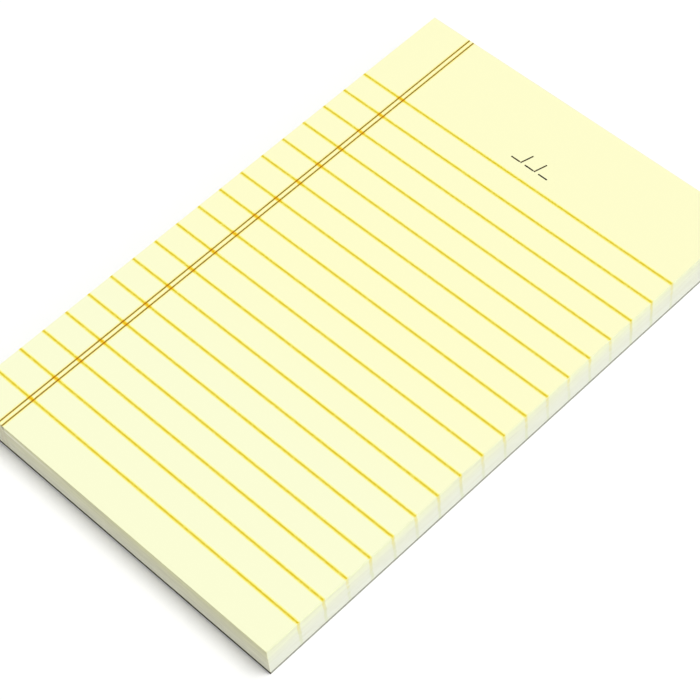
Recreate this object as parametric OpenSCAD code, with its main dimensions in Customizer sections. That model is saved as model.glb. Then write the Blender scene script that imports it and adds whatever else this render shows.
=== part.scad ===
// Ruled writing pad: a block of loose yellow sheets on a chipboard back, held by
// a film of dried glue along the head. The rules and the double margin line are
// printed past the trim, so their ink also shows as ticks down the cut edges.
// Sizes are in millimetres. The pad lies on its back on z = 0, ruled face up,
// with the glued head towards +Y. The origin is under the middle of the pad.

/* [Sheets] */
// Width of a sheet
sheet_w = 127; // [75:0.5:220]
// Length of a sheet, from the foot to the glued head
sheet_l = 197.8; // [120:0.1:360]
// Thickness of one sheet
sheet_t = 0.112; // [0.06:0.002:0.2]
// Number of sheets in the pad
sheet_count = 100; // [20:1:150]

/* [Back and glue] */
// Thickness of the chipboard back
board_t = 0.9; // [0.4:0.05:2]
// Thickness of the dried glue on the head edge
glue_t = 0.3; // [0.1:0.05:1]
// Rounding of the glue's two long edges
glue_round = 0.2; // [0.02:0.01:0.5]

/* [Rules] */
// Blank header, from the head edge to the first rule
header_l = 32.2; // [15:0.1:60]
// Distance from one rule to the next
rule_pitch = 9; // [5:0.1:15]
// Depth of the lowest row, a little more than that of the others
last_row = 9.6; // [5:0.1:15]
// Least blank strip that is left below the lowest rule
foot_blank = 8; // [4:0.5:20]
// Width of a printed rule
rule_w = 0.65; // [0.2:0.05:1]

/* [Margin] */
// Left edge of the sheet to the first margin line
margin_x = 15.5; // [8:0.1:40]
// First margin line to the second
margin_gap = 1.65; // [0.8:0.05:4]
// Width of a margin line
margin_w = 0.5; // [0.1:0.05:0.7]

/* [Ink] */
// Thickness of the printed ink
ink_t = 0.03; // [0.02:0.01:0.1]

/* [Hidden] */
$fn = 32;

stack_h = sheet_t * sheet_count;
page_top = board_t + stack_h;

// The ink at the foot and the glue at the head count towards the pad's middle.
foot_y = (ink_t - sheet_l - glue_t) / 2;
head_y = foot_y + sheet_l;
left_x = -sheet_w / 2;
right_x = sheet_w / 2;

// The ruling is set out from the head: even rows, then one deeper row at the foot.
even_rows = floor((sheet_l - header_l - last_row - foot_blank) / rule_pitch);
first_rule_y = head_y - header_l;
last_even_y = first_rule_y - even_rows * rule_pitch;
rule_ys = concat(
    [for (row = [0 : even_rows]) first_rule_y - row * rule_pitch],
    [last_even_y - last_row]
);

// The margin lines are printed over the rules, so each rule is in three lengths.
margin_xs = [left_x + margin_x, left_x + margin_x + margin_gap];
rule_starts = [left_x, margin_xs[0] + margin_w / 2, margin_xs[1] + margin_w / 2];
rule_ends = [margin_xs[0] - margin_w / 2, margin_xs[1] - margin_w / 2, right_x];

// The rounding takes up at most this share of the film's thickness.
round_share = 0.8;
glue_r = min(glue_round, round_share * glue_t);

// Section of the glue film, out from the head edge and up, with round outer corners
module glue_section() {
    square([glue_t - glue_r, page_top]);
    translate([0, glue_r])
        square([glue_t, page_top - 2 * glue_r]);
    for (corner_z = [glue_r, page_top - glue_r])
        intersection() {
            translate([glue_t - glue_r, corner_z])
                circle(r = glue_r);
            square([glue_t, page_top]);
        }
}

// Column of ink down a cut edge, from the printed face to the back
module edge_tick(tick_x, tick_y, size_x, size_y) {
    translate([tick_x, tick_y, board_t])
        cube([size_x, size_y, stack_h + ink_t]);
}

module page_block() {
    color([0.996, 0.992, 0.81])
        translate([left_x, foot_y, board_t])
            cube([sheet_w, sheet_l, stack_h]);
}

module backing_board() {
    color([0.52, 0.5, 0.46])
        translate([left_x, foot_y, 0])
            cube([sheet_w, sheet_l, board_t]);
}

module glue_binding() {
    color([0.93, 0.91, 0.84])
        translate([left_x, head_y, 0])
            rotate([90, 0, 90])
                linear_extrude(sheet_w)
                    glue_section();
}

module rule_lines() {
    color([0.92, 0.8, 0.1])
        for (rule_y = rule_ys, part = [0 : len(rule_starts) - 1])
            translate([rule_starts[part], rule_y - rule_w / 2, page_top])
                cube([rule_ends[part] - rule_starts[part], rule_w, ink_t]);
}

module margin_lines() {
    color([0.68, 0.53, 0.15])
        for (line_x = margin_xs)
            translate([line_x - margin_w / 2, foot_y, page_top])
                cube([margin_w, sheet_l, ink_t]);
}

module edge_ticks() {
    color([0.95, 0.86, 0.66]) {
        for (rule_y = rule_ys, edge_x = [left_x - ink_t, right_x])
            edge_tick(edge_x, rule_y - rule_w / 2, ink_t, rule_w);
        for (line_x = margin_xs)
            edge_tick(line_x - margin_w / 2, foot_y - ink_t, margin_w, ink_t);
    }
}

page_block();
backing_board();
glue_binding();
rule_lines();
margin_lines();
edge_ticks();
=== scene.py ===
"""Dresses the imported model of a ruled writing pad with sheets, ink, back and glue, in a plain studio."""

import math
import random

import bmesh
import bpy
from bpy.props import FloatProperty, FloatVectorProperty, IntProperty, PointerProperty
from bpy.types import Operator, Panel, PropertyGroup
from mathutils import Matrix, Quaternion, Vector, noise


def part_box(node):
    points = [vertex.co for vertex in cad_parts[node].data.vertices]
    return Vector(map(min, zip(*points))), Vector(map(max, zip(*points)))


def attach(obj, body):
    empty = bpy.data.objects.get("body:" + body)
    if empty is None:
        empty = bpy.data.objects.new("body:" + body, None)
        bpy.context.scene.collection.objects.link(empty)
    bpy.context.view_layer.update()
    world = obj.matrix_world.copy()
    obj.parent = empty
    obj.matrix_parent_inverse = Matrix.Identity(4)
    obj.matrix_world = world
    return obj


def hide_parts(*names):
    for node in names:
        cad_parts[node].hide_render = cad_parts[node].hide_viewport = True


bl_info = {
    "name": "Ruled Writing Pad",
    "version": (1, 0, 0),
    "blender": (4, 5, 0),
    "location": "3D View > Sidebar > Pad",
    "description": "Builds the sheets, printed ink, chipboard back and glue of a ruled writing pad",
    "category": "Object",
}

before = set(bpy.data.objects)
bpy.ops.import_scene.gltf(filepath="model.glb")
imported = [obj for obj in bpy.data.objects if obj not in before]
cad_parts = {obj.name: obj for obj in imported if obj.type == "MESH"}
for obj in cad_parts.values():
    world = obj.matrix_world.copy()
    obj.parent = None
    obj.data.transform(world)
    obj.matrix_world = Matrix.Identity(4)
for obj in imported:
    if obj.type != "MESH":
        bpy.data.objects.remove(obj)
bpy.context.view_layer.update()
BODY = "root"
MM = 0.001
X, Y, Z = range(3)


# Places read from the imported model

def strip_spans(node, axis):
    """Start and end of each of a node's printed strips along one axis, lowest first."""
    places = sorted({round(vertex.co[axis], 6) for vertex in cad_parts[node].data.vertices})
    return list(zip(places[0::2], places[1::2]))


BLOCK_LOW, BLOCK_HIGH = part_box("page_block")
PAGE_Z = BLOCK_HIGH.z
RULE_SPANS = strip_spans("rule_lines", Y)
MARGIN_SPANS = strip_spans("margin_lines", X)


# Sizes and colours that a user would change

def length(name, description, default):
    """A length in metres, shown in the scene's units."""
    return FloatProperty(name=name, description=description, default=default, unit="LENGTH", precision=6)


def share(name, description, default):
    """A share from 0 to 1."""
    return FloatProperty(name=name, description=description, default=default, min=0, max=1,
                         subtype="FACTOR")


def angle(name, description, default):
    """An angle in radians, shown in the scene's units."""
    return FloatProperty(name=name, description=description, default=default, subtype="ANGLE")


def plain_number(name, description, default):
    """A number without a unit."""
    return FloatProperty(name=name, description=description, default=default)


def colour(name, description, default):
    """A linear colour."""
    return FloatVectorProperty(name=name, description=description, default=default, min=0, max=1,
                               subtype="COLOR")


def slopes(name, description, default):
    """Two slopes, to the right and towards the head."""
    return FloatVectorProperty(name=name, description=description, default=default, size=2)


def point(name, description, default):
    """A place in metres."""
    return FloatVectorProperty(name=name, description=description, default=default,
                               subtype="TRANSLATION", precision=5)


class PadSheets(PropertyGroup):
    """The block of sheets"""

    count: IntProperty(name="Sheets", description="Number of sheets in the pad", default=100, min=20)
    wander: length("Wander", "Most that a sheet's edge stands back from the trim line", 0.05 * MM)
    crease: length("Crease", "Most that the crease between two sheets is cut in", 0.06 * MM)
    run_in: length("Run-in", "How far the right trim runs in from the foot to the head", 0.34 * MM)
    # Painted light: the pale bundle is a band of paler edges at the foot, painted for a ledge of sheets that
    # catches the light
    ledge_light_down: length("Bundle down", "Page to the middle of the pale bundle at the foot", 2.4 * MM)
    ledge_light_reach: length("Bundle reach", "How far the pale bundle reaches up and down", 0.9 * MM)
    ledge_light_across: length("Bundle across", "How far the pale bundle runs from the left", 50 * MM)
    page: colour("Page", "Face of a sheet near the head", (0.965, 0.955, 0.587))
    page_foot: colour("Page foot", "Face of a sheet near the foot", (0.938, 0.955, 0.645))
    edge: colour("Edge", "Cut long edges low in the block", (0.818, 0.835, 0.745))
    edge_top: colour("Upper edge", "Cut long edges near the page", (0.922, 0.96, 0.63))
    edge_shade: colour("Edge shade", "Cut long edges that sit back in shade", (0.76, 0.765, 0.62))
    foot: colour("Foot", "Cut edges along the foot, low in the block", (0.88, 0.877, 0.705))
    foot_top: colour("Upper foot", "Cut edges along the foot, near the page", (0.897, 0.892, 0.525))
    # Painted light: the edges at the foot next to the back are painted paler, for light that reaches the
    # base of the foot wall
    foot_painted_light: colour("Lower foot", "Cut edges along the foot, next to the back", (0.95, 0.945, 0.8))
    foot_shade: colour("Foot shade", "Cut edges along the foot that sit back in shade", (0.62, 0.61, 0.47))
    # Painted light: colour of the lit ledge of sheets at the foot
    bundle: colour("Bundle", "Cut edges of the pale bundle", (1.0, 0.985, 0.78))
    # Painted shade: the lowest sheets at the foot are painted dark over this height, for the shade where
    # they meet the back
    shade_band: length("Smear", "Height of the smear that trimming the back left at the foot", 0.15 * MM)
    shade_band_colour: colour("Smear dust", "Dust of the back in the smear", (0.08, 0.075, 0.055))


class PadInk(PropertyGroup):
    """The printed rules, margin lines and date blank"""

    film: length("Film", "Thickness of the ink on the page", 0.012 * MM)
    solid: share("Solid", "Share of a line's width that is solid ink", 0.87)
    soak: length("Soak", "How far the ink has soaked out beside its line", 0.4 * MM)
    ragged: length("Ragged", "How far a printed edge strays", 0.012 * MM)
    rule: colour("Rule", "Ink of the rules", (0.74, 0.555, 0.005))
    rule_soak: colour("Soaked rule", "Page beside a rule", (0.965, 0.905, 0.225))
    rule_glow: colour("Glowing rule", "Rule where margin ink has soaked into it", (0.82, 0.44, 0.0))
    glow_soak: colour("Soaked glow", "Page beside a rule where margin ink has soaked in", (0.93, 0.72, 0.05))
    margin: colour("Margin", "Ink of the margin lines", (0.25, 0.14, 0.0))
    margin_soak: colour("Soaked margin", "Page beside a margin line", (0.965, 0.89, 0.31))
    crossing: colour("Crossing", "Margin ink printed over a rule", (0.45, 0.16, 0.0))
    date: colour("Date blank", "Ink of the date blank", (0.02, 0.02, 0.014))
    date_x: length("Date across", "Middle of the date blank, across the page", 1.9 * MM)
    date_y: length("Date along", "Middle of the date blank, along the page", 74.1 * MM)
    date_w: length("Date width", "Width of the date blank", 16.6 * MM)
    date_h: length("Date height", "Height of the date blank", 4.7 * MM)
    date_line: length("Date stroke", "Width of a stroke in the date blank", 0.5 * MM)
    date_dash: share("Date dash", "Share of its third of the date blank that a dash fills", 0.64)
    date_lean: angle("Date lean", "Lean of the slashes in the date blank", math.radians(16))


class PadTicks(PropertyGroup):
    """The cut ends of the printed lines on the edges of the block"""

    depth: length("Depth", "How far a fleck of ink stands out of its sheet", 0.008 * MM)
    width: length("Width", "Width of a line's cut end, with its soaked ink", 1.15 * MM)
    stray: length("Stray", "How far the print strays from sheet to sheet", 0.12 * MM)
    cover: share("Cover", "Least share of the sheets that show a line's end", 0.6)
    rule_fade: plain_number("Rule fade", "How soon the ends of rules fade below the page", 2.5)
    margin_fade: plain_number("Margin fade", "How soon the ends of margin lines fade below the page", 9.0)
    rule_top: colour("Top rule end", "Cut ends of the rules near the page", (0.893, 0.79, 0.22))
    rule_low: colour("Low rule end", "Cut ends of the rules near the back", (0.745, 0.775, 0.59))
    margin_top: colour("Top margin end", "Cut ends of the margin lines near the page", (0.06, 0.03, 0.015))
    margin_low: colour("Low margin end", "Cut ends of the margin lines near the back", (0.79, 0.75, 0.57))


class PadBack(PropertyGroup):
    """The chipboard back and the glue on the head"""

    board_round: length("Board rounding", "Wear of the board's cut edges", 0.08 * MM)
    board: colour("Board", "Grey chipboard", (0.34, 0.345, 0.285))
    board_fibre: colour("Board fibre", "Paler fibres in the chipboard", (0.45, 0.45, 0.37))
    board_speck: colour("Board speck", "Dark specks in the chipboard", (0.135, 0.135, 0.11))
    # Painted shade: the chipboard's cut edge along the foot is painted near black for the shade at the foot
    # of the pad
    board_foot_shade: colour("Board foot", "Dark cut edge of the chipboard along the foot", (0.032, 0.027, 0.009))
    glue_thin: share("Thin glue", "Least share of the film's thickness", 0.55)
    glue_rim: share("Glue rim", "Share of the film's thickness that is left along its two rims", 0.35)
    glue: colour("Glue", "Dried padding glue", (0.86, 0.83, 0.7))
    glue_dense: colour("Dense glue", "Padding glue where the brush left more", (0.78, 0.74, 0.58))


class PadStudio(PropertyGroup):
    """The floor, the light and the camera"""

    floor: length("Floor", "Half the side of the floor", 3.0)
    bounce: share("Bounce", "Share of light that the floor gives back", 0.95)
    sky: share("Sky", "Share of the page's light that comes from all round", 0.45)
    sky_lean: slopes("Sky lean", "How much brighter the sky is to the right and the head", (0.6, 0.1))
    key: share("Key", "Share of the page's light that the key lamp gives", 0.58)
    key_lean: slopes("Key lean", "Lean of the key lamp to the right and the head", (0.3, 0.2))
    key_angle: angle("Key size", "Angle that the key lamp fills", math.radians(32))
    lens: plain_number("Lens", "Focal length in millimetres", 128.12)
    nearest: length("Nearest", "Least distance at which the camera sees a thing", 10 * MM)
    eye: point("Eye", "Place of the camera", (0.34333, -0.28593, 0.59097))
    aim: point("Aim", "Point of the page in the middle of the view", (0.00959, -0.01311, 0.0121))
    roll: angle("Roll", "Turn of the camera about its view", math.radians(-7.296))


# Shader nodes

def feed(tree, socket, value):
    """Sets an input to a number or a colour, or links it to another node's output."""
    if isinstance(value, bpy.types.NodeSocket):
        tree.links.new(value, socket)
    else:
        socket.default_value = value


def math_node(tree, operation, *values):
    """A math node on sockets or numbers; returns its output."""
    node = tree.nodes.new("ShaderNodeMath")
    node.operation = operation
    for socket, value in zip(node.inputs, values):
        feed(tree, socket, value)
    return node.outputs["Value"]


def noise_node(tree, place, scale, detail):
    """A noise texture with a number of features per metre; returns its value."""
    node = tree.nodes.new("ShaderNodeTexNoise")
    node.inputs["Detail"].default_value = detail
    feed(tree, node.inputs["Vector"], place)
    feed(tree, node.inputs["Scale"], scale)
    return node.outputs["Fac"]


def ramp_node(tree, value, start, end):
    """Spreads the range from start to end over 0 to 1, held at both ends."""
    node = tree.nodes.new("ShaderNodeMapRange")
    node.inputs["From Min"].default_value = start
    node.inputs["From Max"].default_value = end
    feed(tree, node.inputs["Value"], value)
    return node.outputs["Result"]


def split_node(tree, vector):
    """The three parts of a vector."""
    node = tree.nodes.new("ShaderNodeSeparateXYZ")
    feed(tree, node.inputs["Vector"], vector)
    return node.outputs


# Shader effects that several finishes share

# Streaks in a metre along a cut edge, and in the thickness of one sheet up it
STREAKS = {"Single": (110.0, 0.4), "Bundle": (22.0, 0.17)}
# Stretch of the noise that goes from no streak to a full one
STREAK_STRETCH = (0.32, 0.68)
# Stretch of the noise that goes from full ink to thin ink
THIN_STRETCH = (0.5, 0.8)


def new_group(name, setting, outputs):
    """A shader node group that takes a place and one setting, with its input and output nodes."""
    group = bpy.data.node_groups.new(name, "ShaderNodeTree")
    group.interface.new_socket(name="Place", in_out="INPUT", socket_type="NodeSocketVector")
    group.interface.new_socket(name=setting, in_out="INPUT", socket_type="NodeSocketFloat")
    for output in outputs:
        group.interface.new_socket(name=output, in_out="OUTPUT", socket_type="NodeSocketFloat")
    return group, group.nodes.new("NodeGroupInput"), group.nodes.new("NodeGroupOutput")


def fibre_group(name, setting):
    """Fine fibre in the surface of paper and board."""
    group, start, end = new_group(name, setting, ["Fibre"])
    fibre = noise_node(group, start.outputs["Place"], start.outputs[setting], detail=5)
    group.links.new(fibre, end.inputs["Fibre"])
    return group


def streak_group(name, setting):
    """Long level streaks of single sheets, and of bundles of sheets that moved together."""
    group, start, end = new_group(name, setting, STREAKS)
    place = split_node(group, start.outputs["Place"])
    sheets_up = math_node(group, "DIVIDE", place["Z"], start.outputs[setting])
    for output, (along, up) in STREAKS.items():
        join = group.nodes.new("ShaderNodeCombineXYZ")
        feed(group, join.inputs["X"], math_node(group, "MULTIPLY", place["X"], along))
        feed(group, join.inputs["Y"], math_node(group, "MULTIPLY", place["Y"], along))
        feed(group, join.inputs["Z"], math_node(group, "MULTIPLY", sheets_up, up))
        streak = noise_node(group, join.outputs["Vector"], scale=1.0, detail=2)
        group.links.new(ramp_node(group, streak, *STREAK_STRETCH), end.inputs[output])
    return group


def ink_group(name, setting):
    """Where a film of ink lies thin on the fibres."""
    group, start, end = new_group(name, setting, ["Thin"])
    lay = noise_node(group, start.outputs["Place"], start.outputs[setting], detail=4)
    group.links.new(ramp_node(group, lay, *THIN_STRETCH), end.inputs["Thin"])
    return group


EFFECTS = {"Paper fibre": fibre_group, "Sheet streaks": streak_group, "Ink lay": ink_group}

# How far in from the foot its cut edge is taken to reach, and how much of that is a blend
FOOT_FACE = 0.2 * MM
FOOT_BLEND = 0.05 * MM


class Finish:
    """A material under construction: a Principled shader fed from object coordinates."""

    def __init__(self, name, roughness, specular):
        self.material = bpy.data.materials.new(name)
        self.material.use_nodes = True
        self.tree = self.material.node_tree
        self.shader = self.tree.nodes["Principled BSDF"]
        self.shader.inputs["Roughness"].default_value = roughness
        self.shader.inputs["Specular IOR Level"].default_value = specular
        self.place = self.tree.nodes.new("ShaderNodeTexCoord").outputs["Object"]

    def effect(self, name, setting, value):
        """Places a shared effect, which is made the first time that it is used."""
        node = self.tree.nodes.new("ShaderNodeGroup")
        node.node_tree = bpy.data.node_groups.get(name) or EFFECTS[name](name, setting)
        node.inputs[setting].default_value = value
        self.tree.links.new(self.place, node.inputs["Place"])
        return node.outputs

    def mix(self, amount, first, second):
        """Mixes two colours, each a value or a socket, by a socket."""
        node = self.tree.nodes.new("ShaderNodeMix")
        node.data_type = "RGBA"
        self.tree.links.new(amount, node.inputs["Factor"])
        ends = [socket for socket in node.inputs if socket.type == "RGBA"]
        for socket, value in zip(ends, (first, second)):
            feed(self.tree, socket, value if isinstance(value, bpy.types.NodeSocket) else (*value, 1.0))
        return next(socket for socket in node.outputs if socket.type == "RGBA")

    def rise(self, axis, start, end):
        """Rises from 0 to 1 between two places along an axis, and is held beyond them."""
        return ramp_node(self.tree, split_node(self.tree, self.place)[axis], start, end)

    def height(self):
        """How high on the block a point is, from 0 at the back to 1 at the page."""
        return self.rise(Z, BLOCK_LOW.z, BLOCK_HIGH.z)

    def at_foot(self):
        """1 on the cut edge along the foot, and 0 elsewhere."""
        end = BLOCK_LOW.y + FOOT_FACE
        return self.rise(Y, end, end - FOOT_BLEND)

    def base(self, socket):
        """Sets the colour."""
        self.tree.links.new(socket, self.shader.inputs["Base Color"])

    def bump(self, socket, distance, strength):
        """Raises the surface by a height in metres."""
        node = self.tree.nodes.new("ShaderNodeBump")
        node.inputs["Strength"].default_value = strength
        node.inputs["Distance"].default_value = distance
        self.tree.links.new(socket, node.inputs["Height"])
        self.tree.links.new(node.outputs["Normal"], self.shader.inputs["Normal"])


# Finishes

# Share of its reach at which the painted light of the lit ledge at the foot starts to fade
LEDGE_LIGHT_FADE = 0.5
# How far up from the back the painted light on the edges at the foot reaches
FOOT_LIGHT_REACH = 3 * MM
# Share of its height by which the band of painted shade at the foot fades, above and below its rim
SHADE_BAND_FADE = 0.2
# How late on the way up the cut edges take on their upper colour
EDGE_POWER = 2.0
# Fibres and grains in a metre
PAPER_FIBRES = 2600.0
BOARD_FIBRES = 1500.0
INK_GRAINS = 2200.0
# Stretches of the board's fibre that go over to pale fibres and to dark specks
PALE_STRETCH = (0.55, 0.72)
SPECK_STRETCH = (0.42, 0.3)


def page_finish(sheets):
    """Smooth uncoated yellow paper."""
    finish = Finish("yellow page", roughness=0.85, specular=0.15)
    fibre = finish.effect("Paper fibre", "Fibres per metre", PAPER_FIBRES)
    towards_foot = finish.rise(Y, 0, BLOCK_LOW.y / 2)
    finish.base(finish.mix(towards_foot, sheets.page, sheets.page_foot))
    finish.bump(fibre["Fibre"], distance=0.01 * MM, strength=0.3)
    return finish.material


def in_ledge_light(finish, sheets):
    """1 on the band of painted light at the foot that stands for a lit ledge of sheets, fading to 0 above,
    below and to the right.
    """
    middle = BLOCK_HIGH.z - sheets.ledge_light_down
    end = BLOCK_LOW.x + sheets.ledge_light_across
    under = finish.rise(Z, middle - sheets.ledge_light_reach, middle - LEDGE_LIGHT_FADE * sheets.ledge_light_reach)
    over = finish.rise(Z, middle + sheets.ledge_light_reach, middle + LEDGE_LIGHT_FADE * sheets.ledge_light_reach)
    left = finish.rise(X, end, end - LEDGE_LIGHT_FADE * sheets.ledge_light_across)
    return math_node(finish.tree, "MULTIPLY", math_node(finish.tree, "MINIMUM", under, over), left)


def edge_finish(sheets):
    """Knife-cut edges of the sheets, paler than their faces, streaked with painted shade, with bands of
    painted light and painted shade along the foot.
    """
    finish = Finish("cut sheet edges", roughness=0.95, specular=0.1)
    streaks = finish.effect("Sheet streaks", "Sheet thickness", sheet_thickness(sheets))
    upper = math_node(finish.tree, "POWER", finish.height(), EDGE_POWER)
    # Painted light on the lowest edges at the foot
    lower = finish.rise(Z, BLOCK_LOW.z + FOOT_LIGHT_REACH, BLOCK_LOW.z)
    # Painted shade over the lowest sheets at the foot, where they meet the back
    shade_band_rim = BLOCK_LOW.z + sheets.shade_band
    shade_band_fade = SHADE_BAND_FADE * sheets.shade_band
    in_shade_band = finish.rise(Z, shade_band_rim + shade_band_fade, shade_band_rim - shade_band_fade)
    at_foot = finish.at_foot()
    sides = finish.mix(upper, sheets.edge, sheets.edge_top)
    foot = finish.mix(upper, sheets.foot, sheets.foot_top)
    foot = finish.mix(lower, foot, sheets.foot_painted_light)
    foot = finish.mix(in_shade_band, foot, sheets.shade_band_colour)
    clean = finish.mix(at_foot, sides, foot)
    shade = finish.mix(at_foot, sheets.edge_shade, sheets.foot_shade)
    shaded = math_node(finish.tree, "MULTIPLY", streaks["Single"], streaks["Bundle"])
    streaked = finish.mix(shaded, clean, shade)
    # Painted light: the pale band at the foot stands for a lit ledge of sheets
    pale = math_node(finish.tree, "MULTIPLY", at_foot, in_ledge_light(finish, sheets))
    finish.base(finish.mix(pale, streaked, sheets.bundle))
    finish.bump(streaks["Single"], distance=0.02 * MM, strength=0.4)
    return finish.material


def ink_finish(name, ink, thin):
    """Flat printing ink that lies thin here and there."""
    finish = Finish(name, roughness=0.8, specular=0.15)
    lay = finish.effect("Ink lay", "Grains per metre", INK_GRAINS)
    finish.base(finish.mix(lay["Thin"], ink, thin))
    return finish.material


def tick_finish(name, top, low, fade):
    """Cut ends of printed lines, strong near the page and faint towards the back."""
    finish = Finish(name, roughness=0.9, specular=0.1)
    strong = math_node(finish.tree, "POWER", finish.height(), fade)
    finish.base(finish.mix(strong, low, top))
    return finish.material


def board_finish(back):
    """Grey chipboard with pale fibres and dark specks, and painted shade on its cut edge along the foot."""
    finish = Finish("grey chipboard", roughness=0.95, specular=0.1)
    fibre = finish.effect("Paper fibre", "Fibres per metre", BOARD_FIBRES)
    pale = ramp_node(finish.tree, fibre["Fibre"], *PALE_STRETCH)
    speck = ramp_node(finish.tree, fibre["Fibre"], *SPECK_STRETCH)
    fibrous = finish.mix(pale, back.board, back.board_fibre)
    specked = finish.mix(speck, fibrous, back.board_speck)
    # Painted shade on the chipboard's cut edge along the foot
    finish.base(finish.mix(finish.at_foot(), specked, back.board_foot_shade))
    finish.bump(fibre["Fibre"], distance=0.03 * MM, strength=0.6)
    return finish.material


def glue_finish(sheets, back):
    """Brushed padding glue that the edges of the sheets show through."""
    finish = Finish("padding glue", roughness=0.38, specular=0.4)
    streaks = finish.effect("Sheet streaks", "Sheet thickness", sheet_thickness(sheets))
    finish.base(finish.mix(streaks["Bundle"], back.glue, back.glue_dense))
    finish.bump(streaks["Single"], distance=0.02 * MM, strength=0.6)
    return finish.material


# How the sheets lie

# Share of a sheet's thickness over which its edge slopes into a crease
CREASE_SHARE = 0.12
# Most that the drift of the edges changes from sheet to sheet, and its weight beside the jitter
DRIFT_STEP = 0.2
DRIFT_WEIGHT = 0.75
# Seeds of the random draws for the left, right and foot edges, the creases and the flecks of ink
EDGE_SEEDS = (11, 12, 13)
CREASE_SEED = 21
FLECK_SEED = 31


def sheet_thickness(sheets):
    """Thickness of one sheet."""
    return (BLOCK_HIGH.z - BLOCK_LOW.z) / sheets.count


def edge_wander(count, reach, seed):
    """How far each sheet's edge stands back from the trim line: a slow drift with a little jitter."""
    draw = random.Random(seed)
    drift = 0.5
    steps = []
    for _ in range(count):
        drift = min(1.0, max(0.0, drift + draw.uniform(-DRIFT_STEP, DRIFT_STEP)))
        steps.append(reach * (DRIFT_WEIGHT * drift + (1 - DRIFT_WEIGHT) * draw.random()))
    return steps


def sheet_boxes(sheets):
    """Low and high corner of each sheet, from the back up. The head is glued, so no sheet moves there."""
    thick = sheet_thickness(sheets)
    left, right, foot = (edge_wander(sheets.count, sheets.wander, seed) for seed in EDGE_SEEDS)
    boxes = []
    for number in range(sheets.count):
        z = BLOCK_LOW.z + number * thick
        low = Vector((BLOCK_LOW.x + left[number], BLOCK_LOW.y + foot[number], z))
        high = Vector((BLOCK_HIGH.x - right[number], BLOCK_HIGH.y, z + thick))
        boxes.append((low, high))
    return boxes


def trim(sheets, place):
    """Where a point of the pad comes to lie, as the right trim runs in a little towards the head."""
    along = (place.y - BLOCK_LOW.y) / (BLOCK_HIGH.y - BLOCK_LOW.y)
    across = max(0.0, place.x / BLOCK_HIGH.x)
    return place - Vector((sheets.run_in * along * across ** 2, 0, 0))


# Modelling

# An edge runs along an axis if more than this share of its length does
ALONG_SHARE = 0.9
# Length of the facets along and across the block, and of those along a printed line
BLOCK_SLICE = 9 * MM
INK_SLICE = 2 * MM
# Share of its film by which a printed line is sunk into the page
INK_SINK = 0.3
# Length of a wave in a printed line's side, and the distance across over which the waves change
WAVE_LENGTH = 3 * MM
WAVE_CHANGE = 0.2 * MM
# Level of the noise at which the waves are read
WAVE_LEVEL = 0.5


def add_piece(name, bm, materials, replaced=()):
    """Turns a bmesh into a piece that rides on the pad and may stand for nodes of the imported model."""
    sheets = bpy.context.scene.pad_sheets
    for vert in bm.verts:
        vert.co = trim(sheets, vert.co)
    mesh = bpy.data.meshes.new(name)
    bm.to_mesh(mesh)
    bm.free()
    for material in materials:
        mesh.materials.append(material)
    piece = bpy.data.objects.new(name, mesh)
    bpy.context.scene.collection.objects.link(piece)
    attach(piece, BODY)
    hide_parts(*replaced)


def merge(bm, part):
    """Moves one bmesh into another."""
    mesh = bpy.data.meshes.new("part")
    part.to_mesh(mesh)
    part.free()
    bm.from_mesh(mesh)
    bpy.data.meshes.remove(mesh)


def add_box(bm, low, high):
    """Adds a box between two corners; returns its vertices."""
    low, high = Vector(low), Vector(high)
    matrix = Matrix.Translation((low + high) / 2) @ Matrix.Diagonal((*(high - low), 1.0))
    return bmesh.ops.create_cube(bm, size=1.0, matrix=matrix)["verts"]


def slice_along(bm, axis, pitch):
    """Cuts every edge that runs along an axis into lengths of about a pitch."""
    edges = []
    longest = 0.0
    for edge in bm.edges:
        run = abs((edge.verts[1].co - edge.verts[0].co)[axis])
        if run > ALONG_SHARE * edge.calc_length():
            edges.append(edge)
            longest = max(longest, run)
    cuts = int(longest / pitch)
    if cuts:
        bmesh.ops.subdivide_edges(bm, edges=edges, cuts=cuts, use_grid_fill=True)


def level(low, high, inset, z):
    """Two level corners of a sheet's outline, taken in all round but for the glued head."""
    return Vector((low.x + inset, low.y + inset, z)), Vector((high.x - inset, high.y, z))


def lay_face(bm, rim):
    """One level face between two corners."""
    low, high = rim
    size = high - low
    matrix = Matrix.Translation((low + high) / 2) @ Matrix.Diagonal((size.x, size.y, 1, 1))
    bmesh.ops.create_grid(bm, x_segments=1, y_segments=1, size=0.5, matrix=matrix)
    return list(bm.faces)


def raise_face(bm, faces, old, new):
    """Extrudes a level face from its old corners to new ones, and leaves no face inside the block."""
    rim_edges = [edge for face in faces for edge in face.edges]
    made = bmesh.ops.extrude_face_region(bm, geom=faces + rim_edges)["geom"]
    verts = [item for item in made if isinstance(item, bmesh.types.BMVert)]
    scale = [(new[1][axis] - new[0][axis]) / (old[1][axis] - old[0][axis]) for axis in (X, Y)]
    matrix = Matrix.Translation(new[0]) @ Matrix.Diagonal((*scale, 1, 1)) @ Matrix.Translation(-old[0])
    bmesh.ops.transform(bm, matrix=matrix, verts=verts)
    return [item for item in made if isinstance(item, bmesh.types.BMFace)]


def raise_block(sheets, boxes):
    """One closed block of sheets, raised from its lowest face, with a crease between each two sheets."""
    bm = bmesh.new()
    draw = random.Random(CREASE_SEED)
    rim = level(*boxes[0], 0, boxes[0][0].z)
    faces = lay_face(bm, rim)
    for low, high in boxes:
        edge = CREASE_SHARE * (high.z - low.z)
        cut_in = sheets.crease * draw.random() ** 2
        for ring in (level(low, high, 0, low.z + edge), level(low, high, 0, high.z - edge),
                     level(low, high, cut_in, high.z)):
            faces = raise_face(bm, faces, rim, ring)
            rim = ring
    slice_along(bm, X, BLOCK_SLICE)
    slice_along(bm, Y, BLOCK_SLICE)
    return bm


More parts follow.
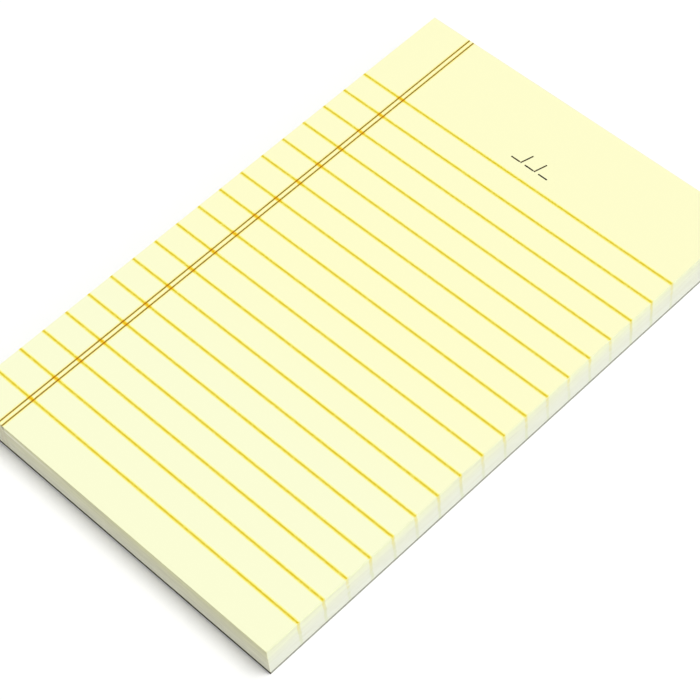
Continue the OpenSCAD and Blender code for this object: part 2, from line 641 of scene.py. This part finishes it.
def print_strip(bm, x_span, y_span, film, ragged=0.0):
    """Prints a film of ink on the page, whose two long sides may stray by a ragged length."""
    sink = INK_SINK * film
    strip = bmesh.new()
    add_box(strip, (x_span[0], y_span[0], PAGE_Z - sink), (x_span[1], y_span[1], PAGE_Z + film))
    along = X if x_span[1] - x_span[0] > y_span[1] - y_span[0] else Y
    across = Y if along == X else X
    slice_along(strip, along, INK_SLICE)
    for vert in strip.verts:
        wave = Vector((vert.co[along] / WAVE_LENGTH, vert.co[across] / WAVE_CHANGE, WAVE_LEVEL))
        vert.co[across] += ragged * noise.noise(wave)
    merge(bm, strip)


def between(spans, start, end):
    """The stretches from start to end that lie between spans."""
    places = [start, *(place for span in spans for place in span), end]
    return list(zip(places[0::2], places[1::2]))


def resized(span, width):
    """A span of another width about the same middle."""
    middle = (span[0] + span[1]) / 2
    return middle - width / 2, middle + width / 2


def solid_spans(ink, spans):
    """The solid middles of printed lines."""
    return [resized(span, ink.solid * (span[1] - span[0])) for span in spans]


def soaked_spans(ink, spans):
    """Printed lines with the ink that has soaked out beside them."""
    return [resized(span, ink.solid * (span[1] - span[0]) + 2 * ink.soak) for span in spans]


def margin_band(ink):
    """The stretch of a rule that the soaked margin lines cover."""
    spans = soaked_spans(ink, MARGIN_SPANS)
    return spans[0][0], spans[-1][1]


# Shares of the ink's film: soaked ink lies lowest, and solid lines lie over it
RULE_SOAK_FILM = 0.3
MARGIN_SOAK_FILM = 0.45
GLOW_SOAK_FILM = 0.6
GLOW_FILM = 0.75


# Operators

# A face is level if its normal is at least this near to upright
LEVEL_NORMAL = 0.99


class PAD_OT_sheets(Operator):
    """Stack the sheets, each a little out of line with the next"""

    bl_idname = "pad.sheets"
    bl_label = "Stack Sheets"

    def execute(self, context):
        sheets = context.scene.pad_sheets
        block = raise_block(sheets, sheet_boxes(sheets))
        bmesh.ops.recalc_face_normals(block, faces=block.faces)
        for face in block.faces:
            face.material_index = int(abs(face.normal.z) < LEVEL_NORMAL)
        add_piece("sheet_block", block, [page_finish(sheets), edge_finish(sheets)],
                  ["page_block"])
        return {"FINISHED"}


class PAD_OT_rules(Operator):
    """Print the rules, with ink soaked out beside them"""

    bl_idname = "pad.rules"
    bl_label = "Print Rules"

    def execute(self, context):
        sheets = context.scene.pad_sheets
        ink = context.scene.pad_ink
        low, high = sheet_boxes(sheets)[-1]
        lines, soaked, glow, glow_soaked = (bmesh.new() for _ in range(4))
        band = margin_band(ink)
        for rule, wide in zip(solid_spans(ink, RULE_SPANS), soaked_spans(ink, RULE_SPANS)):
            for stretch in between([band], low.x, high.x):
                print_strip(lines, stretch, rule, ink.film, ink.ragged)
            print_strip(soaked, (low.x, high.x), wide, RULE_SOAK_FILM * ink.film)
            print_strip(glow, band, rule, GLOW_FILM * ink.film)
            print_strip(glow_soaked, band, wide, GLOW_SOAK_FILM * ink.film)
        add_piece("rule_lines_ink", lines, [ink_finish("rule ink", ink.rule, ink.rule_soak)],
                  ["rule_lines"])
        add_piece("rule_lines_soaked", soaked,
                  [ink_finish("soaked rule ink", ink.rule_soak, sheets.page)])
        add_piece("rule_lines_glow", glow,
                  [ink_finish("glowing rule ink", ink.rule_glow, ink.glow_soak)])
        add_piece("rule_lines_glow_soaked", glow_soaked,
                  [ink_finish("soaked glowing ink", ink.glow_soak, ink.rule_soak)])
        return {"FINISHED"}


class PAD_OT_margin(Operator):
    """Print the double margin line and the places where it crosses the rules"""

    bl_idname = "pad.margin"
    bl_label = "Print Margin"

    def execute(self, context):
        sheets = context.scene.pad_sheets
        ink = context.scene.pad_ink
        low, high = sheet_boxes(sheets)[-1]
        lines, crossings, soaked = (bmesh.new() for _ in range(3))
        rules = soaked_spans(ink, RULE_SPANS)
        for line, wide in zip(solid_spans(ink, MARGIN_SPANS), soaked_spans(ink, MARGIN_SPANS)):
            for stretch in between(rules, low.y, high.y):
                print_strip(lines, line, stretch, ink.film, ink.ragged)
            for rule in rules:
                print_strip(crossings, line, rule, ink.film)
            print_strip(soaked, wide, (low.y, high.y), MARGIN_SOAK_FILM * ink.film)
        add_piece("margin_lines_ink", lines, [ink_finish("margin ink", ink.margin, ink.crossing)],
                  ["margin_lines"])
        add_piece("margin_crossings", crossings, [ink_finish("crossing ink", ink.crossing, ink.margin)])
        add_piece("margin_lines_soaked", soaked,
                  [ink_finish("soaked margin ink", ink.margin_soak, sheets.page)])
        return {"FINISHED"}


# Share of its stray that a line's print keeps from one sheet to the next
STRAY_KEPT = 0.8
# Least and greatest share of a line's width that a fleck fills
FLECK_WIDTHS = (0.75, 1.1)


class PAD_OT_ticks(Operator):
    """Ink the cut ends of the printed lines down the long edges and the foot"""

    bl_idname = "pad.ticks"
    bl_label = "Ink Edges"

    def execute(self, context):
        sheets = context.scene.pad_sheets
        ticks = context.scene.pad_ticks
        boxes = sheet_boxes(sheets)
        draw = random.Random(FLECK_SEED)
        rules, margins = (bmesh.new() for _ in range(2))
        for span in RULE_SPANS:
            for side in (0, 1):
                merge(rules, self.column(draw, ticks, boxes, resized(span, ticks.width), X, side))
        for span in MARGIN_SPANS:
            merge(margins, self.column(draw, ticks, boxes, resized(span, ticks.width), Y, 0))
        rule_finish = tick_finish("rule edge ink", ticks.rule_top, ticks.rule_low, ticks.rule_fade)
        margin_finish = tick_finish("margin edge ink", ticks.margin_top, ticks.margin_low,
                                    ticks.margin_fade)
        add_piece("rule_edge_flecks", rules, [rule_finish], ["edge_ticks"])
        add_piece("margin_edge_flecks", margins, [margin_finish])
        return {"FINISHED"}

    @staticmethod
    def column(draw, ticks, boxes, span, face_axis, side):
        """One line's flecks, sheet by sheet, down the low or the high face across an axis."""
        run_axis = Y if face_axis == X else X
        cover = draw.uniform(ticks.cover, 1.0)
        stray = 0.0
        flecks = bmesh.new()
        for box in boxes:
            stray = STRAY_KEPT * stray + draw.uniform(-1, 1) * ticks.stray
            wide = draw.uniform(*FLECK_WIDTHS)
            if draw.random() > cover:
                continue
            corners = [box[0].copy(), box[1].copy()]
            middle = (span[0] + span[1]) / 2 + stray
            for corner, reach in zip(corners, (-1, 1)):
                corner[face_axis] = box[side][face_axis] + reach * ticks.depth
                corner[run_axis] = middle + reach * wide * (span[1] - span[0]) / 2
            add_box(flecks, *corners)
        return flecks


class PAD_OT_date(Operator):
    """Print a blank for the date in the header: three dashes and two slashes"""

    bl_idname = "pad.date"
    bl_label = "Print Date Blank"

    def execute(self, context):
        ink = context.scene.pad_ink
        bm = bmesh.new()
        parts = 3
        step = ink.date_w / parts
        foot = ink.date_y - ink.date_h / 2
        for part in range(parts):
            middle = ink.date_x + (part - (parts - 1) / 2) * step
            dash = resized((middle, middle), ink.date_dash * step)
            print_strip(bm, dash, (foot, foot + ink.date_line), ink.film)
        corner = Vector((ink.date_line / 2, ink.date_h / 2, ink.film))
        lean = Matrix.Rotation(-ink.date_lean, 4, "Z")
        for slash in range(parts - 1):
            middle = ink.date_x + (slash - (parts - 2) / 2) * step
            place = Matrix.Translation((middle, ink.date_y, PAGE_Z))
            stroke = add_box(bm, (-corner.x, -corner.y, 0), corner)
            bmesh.ops.transform(bm, matrix=place @ lean, verts=stroke)
        add_piece("date_blank", bm, [ink_finish("date ink", ink.date, ink.margin)])
        return {"FINISHED"}


class PAD_OT_board(Operator):
    """Cut the chipboard back, its edges a little rounded"""

    bl_idname = "pad.board"
    bl_label = "Cut Back"

    def execute(self, context):
        back = context.scene.pad_back
        low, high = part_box("backing_board")
        bm = bmesh.new()
        add_box(bm, low, high)
        bmesh.ops.bevel(bm, geom=bm.edges[:], offset=back.board_round, affect="EDGES", segments=3,
                        profile=0.5, material=-1)
        add_piece("chipboard_back", bm, [board_finish(back)], ["backing_board"])
        return {"FINISHED"}


# Facets of the glue along the head and up it
GLUE_ALONG = 90
GLUE_UP = 14
# A point this near to the glue's upper or lower end is on its rim
RIM_REACH = 0.02 * MM
# A face of the glue is shaded smooth if its normal points along the pad by more than this
SMOOTH_NORMAL = 0.7
# Length, height and weight of the brush's broad and fine strokes
STROKES = ((30 * MM, 1.6 * MM, 0.6), (8 * MM, 0.7 * MM, 0.3))
# How full the film is between its least and its whole thickness where no stroke shows
EVEN_BRUSH = 0.5
# How far apart the levels of the noise are at which the strokes are read
STROKE_LEVELS = 4.0


class PAD_OT_glue(Operator):
    """Brush the padding glue over the head edge"""

    bl_idname = "pad.glue"
    bl_label = "Brush Glue"

    def execute(self, context):
        back = context.scene.pad_back
        low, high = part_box("glue_binding")
        size = high - low
        bm = bmesh.new()
        middle = Matrix.Translation((low + Vector((high.x, low.y, high.z))) / 2)
        upright = Matrix.Rotation(math.radians(90), 4, "X")
        stand = middle @ upright @ Matrix.Diagonal((size.x, size.z, 1, 1))
        bmesh.ops.create_grid(bm, x_segments=GLUE_ALONG, y_segments=GLUE_UP, size=0.5, matrix=stand)
        made = bmesh.ops.extrude_face_region(bm, geom=bm.faces[:])["geom"]
        for vert in (item for item in made if isinstance(item, bmesh.types.BMVert)):
            at_rim = min(vert.co.z - low.z, high.z - vert.co.z) < RIM_REACH
            kept = back.glue_rim if at_rim else 1.0
            vert.co.y += size.y * kept * self.thickness(back, vert.co)
        bmesh.ops.recalc_face_normals(bm, faces=bm.faces)
        for face in bm.faces:
            face.smooth = abs(face.normal.y) > SMOOTH_NORMAL
        add_piece("brushed_glue", bm, [glue_finish(context.scene.pad_sheets, back)],
                  ["glue_binding"])
        return {"FINISHED"}

    @staticmethod
    def thickness(back, place):
        """Share of the film's thickness that the brush left at a place."""
        brushed = EVEN_BRUSH
        for number, (along, up, weight) in enumerate(STROKES):
            stroke = Vector((place.x / along, place.z / up, number * STROKE_LEVELS))
            brushed += weight * noise.noise(stroke)
        return back.glue_thin + (1 - back.glue_thin) * min(1.0, max(0.0, brushed))


WHITE = (1.0, 1.0, 1.0)


class PAD_OT_studio(Operator):
    """Set up the white floor, the soft light and the camera"""

    bl_idname = "pad.studio"
    bl_label = "Set Up Studio"

    def execute(self, context):
        studio = context.scene.pad_studio
        self.lay_floor(context, studio)
        self.light_world(context, studio)
        self.hang_key(context, studio)
        self.place_camera(context, studio)
        context.scene.view_settings.view_transform = "Standard"
        return {"FINISHED"}

    @staticmethod
    def seen_directly(tree):
        """1 on rays that show the studio itself: to the camera, in a reflection or through glass."""
        path = tree.nodes.new("ShaderNodeLightPath").outputs
        either = math_node(tree, "MAXIMUM", path["Is Camera Ray"], path["Is Glossy Ray"])
        return math_node(tree, "MAXIMUM", either, path["Is Transmission Ray"])

    def lay_floor(self, context, studio):
        """A white floor that keeps the pad's shadow."""
        bm = bmesh.new()
        bmesh.ops.create_grid(bm, x_segments=1, y_segments=1, size=studio.floor)
        mesh = bpy.data.meshes.new("floor")
        bm.to_mesh(mesh)
        bm.free()
        finish = Finish("white floor", roughness=1.0, specular=0.0)
        finish.base(finish.mix(self.seen_directly(finish.tree), (studio.bounce,) * 3, WHITE))
        mesh.materials.append(finish.material)
        floor = bpy.data.objects.new("floor", mesh)
        context.scene.collection.objects.link(floor)

    def light_world(self, context, studio):
        """A sky that is brighter to one side, and plain white where it is seen."""
        world = bpy.data.worlds.new("white studio")
        world.use_nodes = True
        context.scene.world = world
        tree = world.node_tree
        background = tree.nodes["Background"]
        background.inputs["Color"].default_value = (*WHITE, 1.0)
        towards = split_node(tree, tree.nodes.new("ShaderNodeTexCoord").outputs["Generated"])
        right = math_node(tree, "MULTIPLY_ADD", towards["X"], studio.sky_lean[0], 1.0)
        lean = math_node(tree, "MULTIPLY_ADD", towards["Y"], studio.sky_lean[1], right)
        unseen = math_node(tree, "SUBTRACT", 1.0, self.seen_directly(tree))
        glow = math_node(tree, "MULTIPLY_ADD", lean, studio.sky, -1.0)
        feed(tree, background.inputs["Strength"], math_node(tree, "MULTIPLY_ADD", glow, unseen, 1.0))

    @staticmethod
    def hang_key(context, studio):
        """A wide soft lamp from above, towards the head and the right."""
        towards = Vector((*studio.key_lean, 1.0)).normalized()
        lamp = bpy.data.lights.new("key", "SUN")
        lamp.angle = studio.key_angle
        lamp.energy = math.pi * studio.key / towards.z
        key = bpy.data.objects.new("key", lamp)
        key.rotation_euler = towards.to_track_quat("Z", "Y").to_euler()
        context.scene.collection.objects.link(key)

    @staticmethod
    def place_camera(context, studio):
        """The camera at the eye, turned to the aim point and rolled."""
        camera = bpy.data.objects.new("camera", bpy.data.cameras.new("camera"))
        camera.data.lens = studio.lens
        camera.data.clip_start = studio.nearest
        camera.location = studio.eye
        view = (Vector(studio.aim) - Vector(studio.eye)).to_track_quat("-Z", "Y")
        camera.rotation_euler = (view @ Quaternion((0, 0, 1), studio.roll)).to_euler()
        context.scene.collection.objects.link(camera)
        context.scene.camera = camera


GROUPS = {
    "pad_sheets": PadSheets,
    "pad_ink": PadInk,
    "pad_ticks": PadTicks,
    "pad_back": PadBack,
    "pad_studio": PadStudio,
}
OPERATORS = (PAD_OT_sheets, PAD_OT_rules, PAD_OT_margin, PAD_OT_ticks, PAD_OT_date, PAD_OT_board,
             PAD_OT_glue, PAD_OT_studio)


class PAD_PT_panel(Panel):
    """Lists the steps that build the pad, and its sizes and colours"""

    bl_idname = "PAD_PT_panel"
    bl_label = "Ruled Writing Pad"
    bl_space_type = "VIEW_3D"
    bl_region_type = "UI"
    bl_category = "Pad"

    def draw(self, context):
        for operator in OPERATORS:
            self.layout.operator(operator.bl_idname)
        for name, group in GROUPS.items():
            box = self.layout.box()
            for prop in group.__annotations__:
                box.prop(getattr(context.scene, name), prop)


def register():
    """Adds the settings, the operators and the panel."""
    for name, group in GROUPS.items():
        bpy.utils.register_class(group)
        setattr(bpy.types.Scene, name, PointerProperty(type=group))
    for operator in OPERATORS:
        bpy.utils.register_class(operator)
    bpy.utils.register_class(PAD_PT_panel)


def unregister():
    """Takes them out again, in the opposite order."""
    bpy.utils.unregister_class(PAD_PT_panel)
    for operator in reversed(OPERATORS):
        bpy.utils.unregister_class(operator)
    for name, group in reversed(GROUPS.items()):
        delattr(bpy.types.Scene, name)
        bpy.utils.unregister_class(group)


def main():
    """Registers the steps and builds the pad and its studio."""
    register()
    bpy.ops.pad.sheets()
    bpy.ops.pad.rules()
    bpy.ops.pad.margin()
    bpy.ops.pad.ticks()
    bpy.ops.pad.date()
    bpy.ops.pad.board()
    bpy.ops.pad.glue()
    bpy.ops.pad.studio()


if __name__ == "__main__":
    main()
